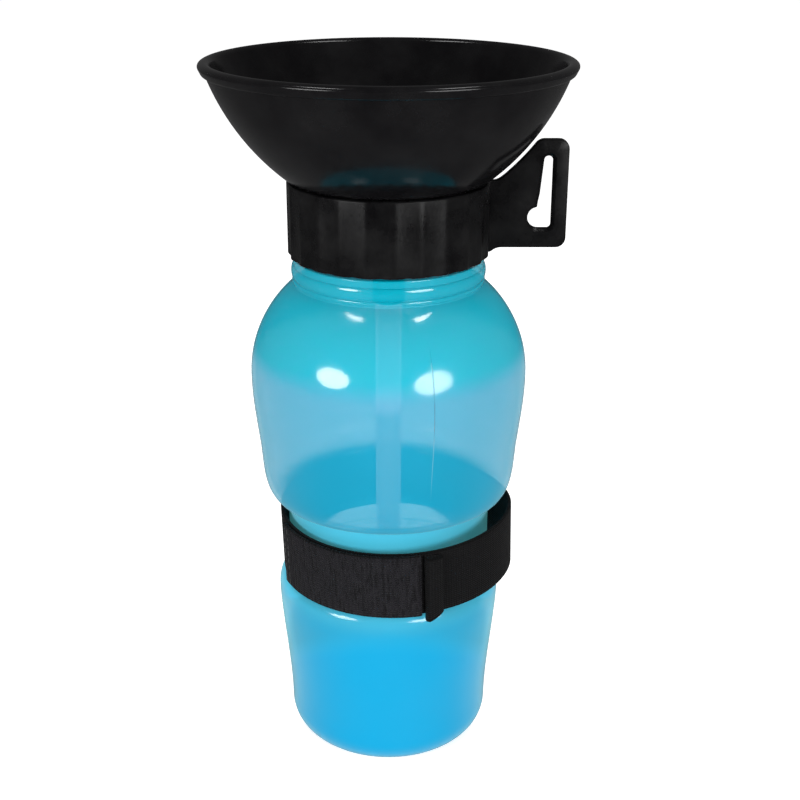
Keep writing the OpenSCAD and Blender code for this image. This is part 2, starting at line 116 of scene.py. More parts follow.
def tint(name, description, default):
    """A colour, as a property."""
    return FloatVectorProperty(
        name=name, description=description, default=default, size=3, min=0, max=1,
        subtype="COLOR")


class BottleSizes(bpy.types.PropertyGroup):
    """Sizes of the blow-moulded bottle."""
    foot: length("Foot radius", "Outer radius of the ring that it stands on", 22.8 * MM)
    foot_width: length("Foot width", "Width of that ring", 2.8 * MM)
    push_up: length("Push-up", "Height of the hollow pressed up into the base", 4 * MM)
    corner: length("Base corner", "Height of the round corner above the base", 10 * MM)
    low: length("Low radius", "Radius of the body above the base corner", 32.8 * MM)
    high: length("High radius", "Radius of the body below the waist", 36.1 * MM)
    body_top: length("Body top", "Height where the waist's ledge begins", 58.2 * MM)
    waist: length("Waist radius", "Radius of the waist under the strap", 32.4 * MM)
    ledge: length("Ledge height", "Height of the ledge below the waist", 1.2 * MM)
    waist_height: length("Waist height", "Height of the straight waist", 26.6 * MM)
    step: length("Bulb step", "Height of the step from the waist to the bulb", 2.6 * MM)
    bulb_low: length("Bulb foot", "Radius of the bulb at its lower edge", 37.6 * MM)
    bulb: length("Bulb radius", "Radius of the bulb at its widest", 42.95 * MM)
    bulb_height: length("Bulb height", "Height of the widest place of the bulb", 128 * MM)
    shoulder: length("Shoulder", "Height where the shoulder meets the neck", 156.6 * MM)
    neck: length("Neck radius", "Radius of the neck below the collar", 29.1 * MM)
    neck_top: length("Neck top", "Height of the top of the plain neck", 164.7 * MM)
    mouth: length("Mouth radius", "Outer radius of the threaded mouth", 27 * MM)
    wall: length("Wall", "Wall of the body", 1.3 * MM)
    mouth_wall: length("Mouth wall", "Wall of the mouth", 1.6 * MM)
    pitch: length("Thread pitch", "Rise of the thread in one turn", 4 * MM)
    seam: turn("Seam", "Angle of the mould's seam from the front", radians(18))


class HeadSizes(bpy.types.PropertyGroup):
    """Sizes of the bowl, the collar, the tube and the dial."""
    rim: length("Rim radius", "Outer radius of the bowl's rim", BOWL_BOX[1].x)
    top: length("Top", "Height of the rim", BOWL_BOX[1].z)
    rim_height: length("Rim height", "Height of the rim's band", 3.8 * MM)
    bowl_top: length("Bowl radius", "Radius of the bowl's outside under the rim", 52.9 * MM)
    bowl_low: length("Bowl foot", "Radius of the bowl's outside at the collar", 30.3 * MM)
    bulge: length("Bulge", "Bulge of the bowl's side over its chord", 2.7 * MM)
    wall: length("Bowl wall", "Wall of the bowl", 2.2 * MM)
    floor: length("Floor", "Thickness of the bowl's floor", 2 * MM)
    neck: length("Neck", "Radius of the bowl's neck in the collar", 26 * MM)
    plug: length("Plug", "Outer radius of the plug in the mouth", 25.1 * MM)
    plug_wall: length("Plug wall", "Wall of the plug", 1.7 * MM)
    plug_length: length("Plug length", "Length of the plug", 8 * MM)
    flange: length("Flange", "Radius of the foot flange", 27.6 * MM)
    flange_low: length("Flange foot", "Height of the flange's underside", 182.4 * MM)
    flange_height: length("Flange height", "Thickness of the flange", 2.7 * MM)
    socket: length("Socket", "Outer radius of the tube's socket", 4.95 * MM)
    socket_length: length("Socket length", "Length of the tube's socket", 38 * MM)
    collar: length("Collar radius", "Radius over the collar's ridges", 30.5 * MM)
    collar_wall: length("Collar wall", "Wall of the collar at its ridges", 2.3 * MM)
    collar_height: length("Collar height", "Height of the collar", 22.6 * MM)
    collar_top: length("Collar top", "Height of the collar's top", 188 * MM)
    collar_lid: length("Collar lid", "Thickness of the collar's top", 2.6 * MM)
    collar_hole: length("Collar hole", "Radius of the hole in the collar's top", 26.3 * MM)
    flutes: IntProperty(name="Flutes", description="Flutes round the collar", default=24)
    flute_depth: length("Flute depth", "Depth of a flute", 0.9 * MM)
    flute_share: share("Flute share", "Share of the pitch that a flute takes", 0.88)
    flute_turn: turn("Flute turn", "Turn of the first ridge from the front", radians(3))
    flute_end: length("Flute end", "Height of the plain band above the flutes", 0.7 * MM)
    flute_run: length("Flute run-out", "Height over which a flute runs out", 1.6 * MM)
    tab: length("Tab reach", "Reach of the hanging tab from the axis", COLLAR_BOX[1].x)
    tab_thick: length("Tab thickness", "Thickness of the tab", 3 * MM)
    tab_low: length("Tab foot", "Height of the tab's lower edge", 167.2 * MM)
    tab_high: length("Tab top", "Height of the tab's upper edge", COLLAR_BOX[1].z)
    slot_flare: length("Slot flare", "Extra width of the slot above its lobe", 1.8 * MM)
    tube: length("Tube radius", "Outer radius of the dip tube", TUBE_BOX[1].x)
    tube_wall: length("Tube wall", "Wall of the dip tube", 0.9 * MM)
    dial: length("Dial radius", "Outer radius of the dial", 10.98 * MM)


class StrapSizes(bpy.types.PropertyGroup):
    """Sizes of the hook-and-loop strap."""
    width: length("Width", "Width of the strap", 21.5 * MM)
    thick: length("Thickness", "Thickness of the webbing", 1.2 * MM)
    hook: length("Hook tape", "Thickness of the hook tape", 1.2 * MM)
    gap: length("Layer gap", "Clearance between the two layers", 0.25 * MM)
    snug: length("Snug gap", "Least clearance to the waist", 0.6 * MM)
    height: length("Height", "Height of the strap's middle", 72.6 * MM)
    slack_x: length("Slack right", "Slack of the loop to the right", 2.7 * MM)
    slack_y: length("Slack front", "Slack of the loop to the front", 0.4 * MM)
    oval: length("Oval", "Extra length of the loop from right to left", 0.15 * MM)
    tilt: turn("Tilt", "Tilt of the strap, right side up", radians(1.6))
    rise: turn("Rise", "Tilt of the strap, rear up", radians(2.5))
    start: turn("Hook start", "Sewn end of the hook tape, from the front", radians(-65))
    end: turn("Hook end", "Fold of the hook tape, from the front", radians(15))
    fold: turn("Fold", "Length of the folded end", radians(8))


class Finishes(bpy.types.PropertyGroup):
    """Colours of the pieces."""
    bottle: tint("Bottle", "Thin wall of the bulb and waist", (0.005, 0.325, 0.505))
    # Painted sheen: the pale colour of a painted reflection at the bottle's edges, and of a
    # painted highlight on the seam
    painted_sheen: tint("Painted sheen", "Thin wall seen along its side", (0.42, 0.82, 0.94))
    # Painted glow: an emission colour, not a lamp
    painted_glow: tint("Glow", "Light that gathers in the waist and under the strap", (0.1, 0.53, 0.53))
    # Deeper teal: painted shade under the bowl, on a wall that is also thicker there
    shoulder: tint("Shoulder", "Thick wall of the shoulder and neck", (0.0, 0.348, 0.465))
    foot: tint("Foot", "Wall of the lower body", (0.0, 0.29, 0.525))
    wall: share("Wall", "Opacity of the thin wall", 0.47)
    bowl: tint("Bowl", "Glossy bowl", (0.0026, 0.0024, 0.0028))
    collar: tint("Collar", "Satin collar and dial", (0.0022, 0.0021, 0.0024))
    tube: tint("Tube", "Dip tube", (0.56, 0.74, 0.80))
    # Painted glow of the tube: an emission colour where the tube is seen through the bottle
    tube_painted_glow: tint("Tube glow", "Light that the tube gathers in the bottle", (1.0, 0.76, 0.88))
    silicone: tint("Silicone", "Gasket and seal rings", (0.80, 0.80, 0.77))
    webbing: tint("Webbing", "Woven loop tape", (0.0012, 0.0012, 0.0014))
    hooks: tint("Hook tape", "Ribbed hook tape", (0.0030, 0.0028, 0.0037))
    thread: tint("Thread", "Sewing thread", (0.008, 0.008, 0.009))
    floor: tint("Floor", "Floor under the bottle", (0.93, 0.93, 0.93))


# --- Sections and meshes ----------------------------------------------------------------

def at(radius, height):
    """A point of a section, in the plane that is spun round the axis."""
    return Vector((radius, 0.0, height))


def swept(a, b, c, d, count=12):
    """Points along the curve from a to d with handles b and c, without a itself."""
    return interpolate_bezier(a, b, c, d, count + 1)[1:]


def softened(*corners, steps=4):
    """A line through corners of (radius, height, reach in mm), each rounded over its reach."""
    spots = [at(radius, height) for radius, height, _ in corners]
    points = []
    for i, point in enumerate(spots):
        reach = corners[i][2] * MM
        if reach == 0 or i in (0, len(spots) - 1):
            points.append(point)
            continue
        before = (spots[i - 1] - point).normalized() * reach
        after = (spots[i + 1] - point).normalized() * reach
        points.append(point + before)
        points += swept(point + before, point + before * 0.45,
                        point + after * 0.45, point + after, steps)
    return points


def curved(start, *moves):
    """A line from start. A move is a point, or two handles, an end and perhaps a count."""
    end = at(*start)
    points = [end]
    for move in moves:
        if isinstance(move[0], tuple):
            points += swept(end, *(at(*point) for point in move[:3]), *move[3:])
            end = at(*move[2])
        else:
            end = at(*move)
            points.append(end)
    return points


def moved_in(path, depth):
    """The path moved to its left by depth, which is inwards for an outline that runs up."""
    moved = []
    for i, point in enumerate(path):
        along = (path[min(i + 1, len(path) - 1)] - path[max(i - 1, 0)]).normalized()
        moved.append(at(max(0.0, point.x - depth * along.z), point.z + depth * along.x))
    return moved


def bulged(low, high, height, inset, count=28):
    """Points along the flat arc that bulges outwards by height from the chord low to high."""
    chord = high - low
    radius = (chord.length_squared / 4 + height * height) / (2 * height)
    out = at(chord.z, -chord.x).normalized()
    middle = (low + high) / 2 - out * (radius - height)
    first = low - middle
    last = high - middle
    sweep = first.angle(last)
    points = []
    for i in range(count + 1):
        spun = first.copy()
        spun.rotate(Matrix.Rotation(-sweep * i / count, 3, "Y"))
        points.append(middle + spun * (radius - inset) / radius)
    return points


def spun(section, steps=160, closed=False, angle=tau, rise=0.0):
    """A mesh of the section spun round the z axis."""
    form = bmesh.new()
    verts = [form.verts.new(point) for point in section]
    pairs = list(zip(verts, verts[1:]))
    if closed:
        pairs.append((verts[-1], verts[0]))
    edges = [form.edges.new(pair) for pair in pairs]
    bmesh.ops.spin(
        form, geom=verts + edges, cent=(0, 0, 0), axis=(0, 0, 1), dvec=(0, 0, rise / steps),
        angle=angle, steps=steps, use_merge=angle == tau and rise == 0, use_duplicate=False)
    return form


def inner_marked(form, section, first):
    """Marks the mesh where it comes from the section's points from that place on."""
    places = KDTree(len(section))
    for i, point in enumerate(section):
        places.insert(point, i)
    places.balance()
    layer = form.verts.layers.float.new("inner")
    for vert in form.verts:
        place = places.find(at(hypot(vert.co.x, vert.co.y), vert.co.z))[1]
        vert[layer] = 1.0 if place >= first else 0.0


def drawn_loop(form, points):
    """A closed loop of edges through points."""
    verts = [form.verts.new(point) for point in points]
    return [form.edges.new(pair) for pair in zip(verts, verts[1:] + verts[:1])]


def meshed(name, form):
    """The form as a mesh; the form is freed."""
    mesh = bpy.data.meshes.new(name)
    form.to_mesh(mesh)
    form.free()
    return mesh


def linked(name, data):
    """A new object with that data, in the scene."""
    item = bpy.data.objects.new(name, data)
    bpy.context.scene.collection.objects.link(item)
    return item


def finished(name, form, material, body, nodes=(), sharp=38):
    """The mesh as an object with its finish, riding on its body."""
    bmesh.ops.remove_doubles(form, verts=form.verts[:], dist=WELD)
    bmesh.ops.recalc_face_normals(form, faces=form.faces[:])
    mesh = meshed(name, form)
    mesh.shade_smooth()
    mesh.set_sharp_from_angle(angle=radians(sharp))
    mesh.materials.append(material)
    piece = linked(name, mesh)
    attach(piece, body)
    if nodes:
        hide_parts(*nodes)
    return piece


def joined(first, second):
    """Adds the second mesh to the first."""
    copy = meshed("joined", second)
    first.from_mesh(copy)
    bpy.data.meshes.remove(copy)
    return first


def block(form, size, middle):
    """Adds a box to the form and returns its corners."""
    verts = bmesh.ops.create_cube(form, size=1)["verts"]
    bmesh.ops.scale(form, vec=size, verts=verts)
    bmesh.ops.translate(form, vec=middle, verts=verts)
    return verts


def applied(piece):
    """Applies the piece's modifiers to its mesh."""
    graph = bpy.context.evaluated_depsgraph_get()
    mesh = bpy.data.meshes.new_from_object(piece.evaluated_get(graph), depsgraph=graph)
    old = piece.data
    piece.modifiers.clear()
    piece.data = mesh
    bpy.data.meshes.remove(old)
    mesh.name = piece.name


def drilled(piece, middle, radius, reach, turned_about):
    """Cuts a round hole through the piece, by a boolean that is applied at once."""
    form = bmesh.new()
    bmesh.ops.create_cone(form, cap_ends=True, segments=40, radius1=radius, radius2=radius,
                          depth=reach * 2)
    bmesh.ops.rotate(form, cent=(0, 0, 0), matrix=Matrix.Rotation(pi / 2, 3, turned_about),
                     verts=form.verts[:])
    bmesh.ops.translate(form, vec=middle, verts=form.verts[:])
    mesh = meshed("drill", form)
    drill = linked("drill", mesh)
    cut = piece.modifiers.new("hole", "BOOLEAN")
    cut.operation = "DIFFERENCE"
    cut.solver = "EXACT"
    cut.object = drill
    applied(piece)
    bpy.data.objects.remove(drill)
    bpy.data.meshes.remove(mesh)


# --- Materials --------------------------------------------------------------------------

class Flow:
    """An output of a node, on which sums are written as they are on numbers."""

    def __init__(self, socket):
        self.socket = socket
        self.tree = socket.id_data

    def math(self, operation, *others):
        """The output of a math node on this output and on outputs or numbers."""
        return math_node(self.tree, operation, self, *others)

    __add__ = partialmethod(math, "ADD")
    __sub__ = partialmethod(math, "SUBTRACT")
    __mul__ = partialmethod(math, "MULTIPLY")
    __truediv__ = partialmethod(math, "DIVIDE")
    __pow__ = partialmethod(math, "POWER")
    __abs__ = partialmethod(math, "ABSOLUTE")

    def __rsub__(self, other):
        return math_node(self.tree, "SUBTRACT", other, self)


def fill(node, inputs):
    """Links outputs to the node's inputs, or sets them to numbers."""
    for key, value in inputs.items():
        if isinstance(value, Flow):
            value.tree.links.new(value.socket, node.inputs[key])
        else:
            node.inputs[key].default_value = value


def add(tree, kind, inputs=None, **settings):
    """A node of that kind with its settings and its inputs."""
    node = tree.nodes.new(kind)
    for key, value in settings.items():
        setattr(node, key, value)
    fill(node, inputs or {})
    return node


def flow(tree, kind, output, inputs=None, **settings):
    """One output of a new node."""
    return Flow(add(tree, kind, inputs, **settings).outputs[output])


def outputs(node):
    """The node's outputs by name."""
    return {socket.name: Flow(socket) for socket in node.outputs}


def math_node(tree, operation, *operands):
    """The output of a math node whose operands are outputs or numbers."""
    return flow(tree, "ShaderNodeMath", 0, dict(enumerate(operands)), operation=operation)


def ranged(value, first, last, low=0.0, high=1.0, **settings):
    """The value's range from first to last spread over low to high."""
    return flow(value.tree, "ShaderNodeMapRange", "Result", {
        "Value": value, "From Min": first, "From Max": last, "To Min": low, "To Max": high},
        **settings)


def noise(place, scale, detail=2.0, **values):
    """Noise at a place, with the node's other values."""
    return flow(place.tree, "ShaderNodeTexNoise", "Fac",
                {"Vector": place, "Scale": scale, "Detail": detail, **values})


def object_place(tree):
    """The place in the piece's own coordinates."""
    return flow(tree, "ShaderNodeTexCoord", "Object")


def axes(place):
    """The place's x, y and z."""
    return outputs(add(place.tree, "ShaderNodeSeparateXYZ", {0: place})).values()


def facing_edge(tree):
    """From 0 where a surface faces the view to 1 at its edge."""
    return flow(tree, "ShaderNodeLayerWeight", "Facing", {"Blend": 0.5})


def new_group(name, numbers, results):
    """An empty node group; returns its tree, its inputs by name and its end node."""
    tree = bpy.data.node_groups.new(name, "ShaderNodeTree")
    for label, default in numbers.items():
        socket = tree.interface.new_socket(label, in_out="INPUT", socket_type="NodeSocketFloat")
        socket.default_value = default
    for label in results:
        tree.interface.new_socket(label, in_out="OUTPUT", socket_type="NodeSocketFloat")
    return tree, outputs(add(tree, "NodeGroupInput")), add(tree, "NodeGroupOutput")


def placed(tree, group, **values):
    """The outputs of the group, put into the tree with its own values."""
    values = {key.replace("_", " ").capitalize(): value for key, value in values.items()}
    return outputs(
        add(tree, "ShaderNodeGroup", values, node_tree=bpy.data.node_groups[group]))


def handling_group():
    """Smudges from hands and fine scuffs, on moulded plastic."""
    tree, inlet, outlet = new_group(
        "Handling", {"Smudge size": 60.0, "Scuff size": 900.0}, ("Smudges", "Scuffs"))
    spot = object_place(tree)
    smudges = noise(spot, inlet["Smudge size"], 4.0, Roughness=0.62)
    scuffs = noise(spot, inlet["Scuff size"], Roughness=0.5, Distortion=1.2)
    fill(outlet, {"Smudges": ranged(smudges, 0.35, 0.72), "Scuffs": scuffs})


def tape_group():
    """Threads of a narrow woven tape, from the piece's own UV map in metres, with its hollows
    and its long edges darker as painted shade.
    """
    tree, inlet, outlet = new_group(
        "Woven Tape", {"Warp pitch": 0.0009, "Weft pitch": 0.0006, "Ribs": 0.5, "Strokes": 0.5,
                       "Half width": 0.0108},
        ("Height", "Shade"))
    uv = flow(tree, "ShaderNodeUVMap", "UV", uv_map="tape")
    x, y, _ = axes(uv)
    fuzz = noise(uv, 2600.0, 3.0, Roughness=0.7)
    shift = noise(uv, 260.0) * 2.2

    def ridges(way, pitch):
        """A row of round ridges along one axis."""
        return ((way / inlet[pitch] * tau + shift).math("SINE") + 1.0) * 0.5

    along = ridges(x, "Warp pitch")
    across = ridges(y, "Weft pitch")
    weave = along * inlet["Ribs"] + (along * across + across) * (1.0 - inlet["Ribs"])
    squeezed = flow(tree, "ShaderNodeCombineXYZ", "Vector", {"X": x, "Y": y * 0.16})
    lines = ranged(noise(squeezed, 1150.0), 0.36, 0.52) * inlet["Strokes"]
    height = weave + fuzz * 0.8 + lines
    # painted shade: the colour darkens towards the tape's long edges
    face = ranged(inlet["Half width"] - abs(y), 0.0002, 0.0007)
    fill(outlet, {"Height": height, "Shade": height * face * 0.45})


def new_material(name, colour, **values):
    """A material with a Principled shader; returns it, its tree and the shader."""
    material = bpy.data.materials.new(name)
    material.use_nodes = True
    shader = material.node_tree.nodes["Principled BSDF"]
    values = {key.replace("_", " "): value for key, value in values.items()}
    fill(shader, {"Base Color": (*colour, 1), **values})
    return material, material.node_tree, shader


def mixed(factor, first, second):
    """A mix by a factor of two colours, each an output or three numbers."""
    ends = [end if isinstance(end, Flow) else (*end, 1) for end in (first, second)]
    return flow(factor.tree, "ShaderNodeMix", "Result",
                {"Factor": factor, "A": ends[0], "B": ends[1]}, data_type="RGBA")


def bumped(height, distance):
    """Normals bent by a height, which stands for a distance in metres."""
    return flow(height.tree, "ShaderNodeBump", "Normal",
                {"Height": height, "Distance": distance, "Strength": 1.0})


def scaled(colour, factor):
    """The colour times a factor."""
    return tuple(part * factor for part in colour)


def worn(name, colour, patches, roughness, depth, lift=0.0, **values):
    """Moulded plastic with smudges, which may lift its colour towards white, and scuffs."""
    material, tree, shader = new_material(name, colour, **values)
    wear = placed(tree, "Handling", smudge_size=patches[0], scuff_size=patches[1])
    fill(shader, {"Roughness": ranged(wear["Smudges"], 0.0, 1.0, *roughness),
                  "Normal": bumped(wear["Scuffs"], depth)})
    if lift:
        lifted = tuple(part + (1 - part) * lift for part in colour)
        fill(shader, {"Base Color": mixed(wear["Smudges"], colour, lifted)})
    return material, tree, shader


def bottle_material(colours, sizes):
    """Translucent blue plastic, thick and deep at the shoulder and base, thin at the bulb; the
    shoulder's deeper teal is partly painted shade, and a painted sheen and a painted glow are
    mixed in.
    """
    material, tree, shader = new_material(
        "bottle_blue", colours.bottle, Alpha=0.44, IOR=1.5, Roughness=0.1,
        Specular_IOR_Level=0.56, Emission_Strength=0.2)
    smudges = placed(tree, "Handling", smudge_size=38.0, scuff_size=420.0)["Smudges"]
    x, y, height = axes(object_place(tree))
    facing = facing_edge(tree)

    def band(low, high, level=height):
        """Runs from 0 to 1 between two heights."""
        return ranged(level, low, high, interpolation_type="SMOOTHSTEP")

    # Where the parts of the bottle are
    top = sizes.body_top
    waist_top = top + sizes.waist_height
    bulb_edge = sizes.bulb_height + 3 * MM
    foot_in = sizes.foot - sizes.foot_width
    side = x * x
    shoulder = band(bulb_edge, bulb_edge + 8 * MM)
    floor = ranged((side + y * y).math("SQRT"), foot_in, foot_in - 1 * MM)
    body = band(top + 2 * MM, top - 8 * MM)
    neck = band(sizes.shoulder - 2 * MM, sizes.shoulder + 1 * MM)
    waist = band(waist_top + 4 * MM, waist_top + 0.5 * MM)
    strip = waist - body
    step = top + sizes.ledge + sizes.waist_height + 0.7 * MM
    corner = (1.0 - abs(height - step) / (1.1 * MM)).math("MAXIMUM", 0.0)

    # The colour, with the mould's seam, painted shade on the shoulder, and a painted sheen (a
    # painted reflection) at the edges and a little in the waist
    away = abs(x.math("ARCTAN2", y * -1.0) - sizes.seam)
    seam = ranged(away, 0.004, 0.0015) * (band(98 * MM, 114 * MM) * band(150 * MM, 138 * MM))
    # deeper teal above the bulb's widest line: painted shade under the bowl, on a wall that is
    # also thicker there
    plain = mixed(body, mixed(shoulder, colours.bottle, colours.shoulder), colours.foot)
    # the seam's line is real; its pale lower part is a painted highlight and its dark upper part
    # is painted shade
    seam_highlight_and_shade = mixed(band(116 * MM, 124 * MM), colours.painted_sheen, scaled(colours.bottle, 0.3))
    thin = (1.0 - shoulder) * 0.8 + body * 0.3
    # painted reflection at the edges, stronger on the thin wall, plus a little painted light in
    # the waist
    painted_sheen = facing ** 4.0 * thin + strip * 0.1
    colour = mixed(painted_sheen, mixed(seam * 0.35, plain, seam_highlight_and_shade), colours.painted_sheen)

    # Painted glow: emission in the waist and under the strap, seen from the front and through
    # the wall, standing for light that gathers in the wall
    arched = height + facing * (31 * MM)
    window = height + side * 13.0
    upper = (band(top - 7.3 * MM, top + 2.7 * MM, arched)
             * band(top + 11 * MM, top + 9 * MM, window))
    layers = flow(tree, "ShaderNodeLightPath", "Transparent Depth")
    painted_glow_mask = (strip * layers.math("LESS_THAN", 1.5)).math("MAXIMUM", upper)

    # How clear the wall is, which falls with the length of the way through it
    clear = 1 - colours.wall - shoulder * 0.26
    masks = ((waist, 0.4), (upper, -0.34), (floor, -0.3), (corner, 0.1), (neck, -0.14))
    for mask, amount in masks:
        clear = clear - mask * amount
    inner = flow(tree, "ShaderNodeAttribute", "Fac", attribute_name="inner")
    power = ranged(facing, 0.66, 0.92, 1.0, 1.6) * (1.6 - inner * 1.2)
    fill(shader, {
        "Base Color": colour,
        "Alpha": 1.0 - clear ** power,
        "Roughness": ranged(smudges, 0.0, 1.0, 0.08, 0.18),
        # painted glow in the waist and under the strap
        "Emission Color": mixed(painted_glow_mask, (0, 0, 0), colours.painted_glow),
        "Normal": bumped(seam + smudges * 0.4, 0.00012)})
    return material


def gloss_material(colours):
    """Glossy black plastic with hairline scuffs and a few smudges."""
    return worn("bowl_black", colours.bowl, (55.0, 1300.0), (0.11, 0.2), 0.00001, lift=0.004,
                IOR=1.46, Roughness=0.18, Specular_IOR_Level=0.18)[0]


def satin_material(colours):
    """Satin black plastic with a fine moulded grain."""
    return worn("collar_black", colours.collar, (90.0, 2400.0), (0.23, 0.36), 0.00003,
                lift=0.006, IOR=1.46, Roughness=0.3, Specular_IOR_Level=0.11)[0]


def tube_material(colours, sizes):
    """Milky clear tube, with a painted glow on its outer side where it is seen through the
    bottle's wall, and painted shade at its edges.
    """
    material, tree, shader = worn(
        "tube_milky", colours.tube, (70.0, 700.0), (0.24, 0.36), 0.00002,
        Alpha=0.45, IOR=1.4, Roughness=0.3)
    x, y, height = axes(object_place(tree))
    facing = facing_edge(tree)
    # Painted glow: emission on the tube's outer side, stronger higher up and fading at its top
    # end, only where it is seen through the bottle's wall
    painted_glow = ranged(height, 112 * MM, 122 * MM, 0.30, 1.6)
    end = ranged(height, 143 * MM, 151 * MM, 1.0, 0.3)
    layers = flow(tree, "ShaderNodeLightPath", "Transparent Depth")
    outer = (x * x + y * y).math("GREATER_THAN", (sizes.tube - sizes.tube_wall / 2) ** 2)
    fill(shader, {
        "Emission Strength": painted_glow * (layers.math("COMPARE", 2.0, 0.5) * end * outer),
        "Emission Color": (*colours.tube_painted_glow, 1),
        "Alpha": ranged(facing ** 3.0, 0.0, 1.0, 0.42, 0.85),
        # painted shade: the colour darkens towards the tube's edges as seen
        "Base Color": mixed(facing ** 4.0, colours.tube, scaled(colours.tube, 0.4))})
    return material


def silicone_material(colours):
    """Matt translucent silicone."""
    return worn("silicone_white", colours.silicone, (200.0, 3000.0), (0.42, 0.6), 0.00003,
                Roughness=0.5, IOR=1.41, Subsurface_Weight=0.3, Subsurface_Scale=0.002)[0]


def tape_material(name, colour, warp, weft, ribs, strokes, depth, half):
    """A woven tape with its own thread pitches, whose colour carries the weave's painted shade
    and painted shade at its edges.
    """
    material, tree, shader = new_material(
        name, colour, Roughness=0.78, Sheen_Weight=0.025, Sheen_Roughness=0.45,
        Specular_IOR_Level=0.14)
    weave = placed(tree, "Woven Tape", warp_pitch=warp, weft_pitch=weft, ribs=ribs,
                   strokes=strokes, half_width=half)
    fill(shader, {
        # the colour runs from dark to light with the weave's tone and painted shade
        "Base Color": mixed(weave["Shade"], scaled(colour, 0.3), scaled(colour, 3.0)),
        "Roughness": ranged(weave["Shade"], 0.0, 1.0, 0.9, 0.62),
        "Normal": bumped(weave["Height"], depth)})
    return material


def thread_material(colours):
    """Twisted sewing thread."""
    material, tree, shader = new_material(
        "sewing_thread", colours.thread, Roughness=0.6, Sheen_Weight=0.3)
    twist = flow(tree, "ShaderNodeTexWave", "Fac",
                 {"Vector": object_place(tree), "Scale": 900.0, "Distortion": 1.0})
    fill(shader, {"Normal": bumped(twist, 0.00008)})
    return material


# --- The bottle -------------------------------------------------------------------------

def bottle_outline(b):
    """Outside of the bottle from the middle of its base to the foot of the neck."""
    foot_in = b.foot - b.foot_width
    waist_low = b.body_top + b.ledge
    waist_high = waist_low + b.waist_height
    bulb_low = waist_high + b.step
    side = b.body_top - b.corner
    rise = b.bulb_height - bulb_low
    cap = b.shoulder - b.bulb_height
    flare = b.bulb_low + (b.bulb - b.bulb_low) * 0.6
    return curved(
        (0, b.push_up),
        ((foot_in * 0.5, b.push_up), (foot_in * 0.75, 0.4 * MM), (foot_in, 0)),
        (b.foot, 0),
        ((b.foot + (b.low - b.foot) * 0.56, 0), (b.low, b.corner * 0.45), (b.low, b.corner)),
        ((b.low, b.corner + side * 0.3), (b.high, b.body_top - side * 0.3),
         (b.high, b.body_top - 4.5 * MM), 16),
        ((b.high, b.body_top - 0.9 * MM), (b.waist + 2.2 * MM, b.body_top + 0.7 * MM),
         (b.waist + 0.5 * MM, b.body_top + 0.8 * MM), 16),
        (b.waist, waist_low),
        (b.waist, waist_high - 1 * MM),
        ((b.waist, waist_high + 1.8 * MM), (b.bulb_low - 1.2 * MM, bulb_low - 1.4 * MM),
         (b.bulb_low, bulb_low)),
        ((b.bulb_low + 2.6 * MM, bulb_low + 3 * MM), (b.bulb_low + 2.6 * MM, bulb_low + 9 * MM),
         (flare, bulb_low + rise * 0.4)),
        ((b.bulb_low + (b.bulb - b.bulb_low) * 0.85, bulb_low + rise * 0.68),
         (b.bulb, bulb_low + rise * 0.8), (b.bulb, b.bulb_height)),
        ((b.bulb, b.bulb_height + cap * 0.43), (b.neck + 7.4 * MM, b.shoulder - 6.1 * MM),
         (b.neck + 0.6 * MM, b.shoulder - 0.5 * MM), 20),
        (b.neck, b.shoulder))


def bead(b, middle, out, height, count=8):
    """Half-round bead on the neck, from below."""
    angles = [-pi / 2 + pi * i / count for i in range(count + 1)]
    return [at(b.neck + out * cos(a), middle + height / 2 * sin(a)) for a in angles]


def thread_ridge(b):
    """One turn and a quarter of thread round the mouth, fading out at both ends."""
    turns = 1.25
    steps = 150
    root = b.mouth - 0.3 * MM
    low = b.neck_top + 3.2 * MM
    crest = b.mouth + 0.75 * MM
    section = [at(root, low - 1.0 * MM), at(crest, low - 0.35 * MM),
               at(crest, low + 0.35 * MM), at(root, low + 1.0 * MM)]
    form = spun(section, steps, True, tau * turns, b.pitch * turns)
    for vert in form.verts:
        reach = hypot(vert.co.x, vert.co.y)
        run = (vert.co.z - low + 1.0 * MM) / (b.pitch * turns)
        fade = min(1.0, run * 9, (1.35 - run) * 7)
        if reach > b.mouth:
            vert.co.xy *= (root + (reach - root) * max(fade, 0.05)) / reach
    bmesh.ops.holes_fill(form, edges=form.edges[:], sides=6)
    return form


class BOTTLE_OT_build_bottle(bpy.types.Operator):
    """Builds the squeeze bottle and the thread on its mouth"""
    bl_idname = "bottle.build_bottle"
    bl_label = "Build Bottle"

    def execute(self, context):
        b = context.scene.bottle_sizes
        lip = BOTTLE_BOX[1].z
        bore = b.mouth - b.mouth_wall
        outside = bottle_outline(b)
        inside = moved_in(outside, b.wall)
        section = list(outside)
        for middle, out, height in BEADS:
            section += bead(b, middle * MM, out * MM, height * MM)
        section += softened(
            (b.neck, b.neck_top - 0.6 * MM, 0), (b.neck, b.neck_top, 0.4),
            (b.mouth, b.neck_top, 0.4), (b.mouth, lip, 0.5),
            (bore, lip, 0.5), (bore, lip - 1.5 * MM, 0))
        first = len(section)
        section += softened(
            (bore, lip - 2 * MM, 0), (bore, b.shoulder + 1.5 * MM, 0.8),
            (*inside[-1].xz, 0))
        section += reversed(inside[:-1])
        form = spun(section)
        inner_marked(form, section, first)
        material = bottle_material(context.scene.bottle_finishes, b)
        finished("bottle_shell", form, material, "bottle", ["bottle"])
        finished("mouth_thread", thread_ridge(b), material, "bottle")
        return {"FINISHED"}


# --- The bowl, its tube and its seals ---------------------------------------------------

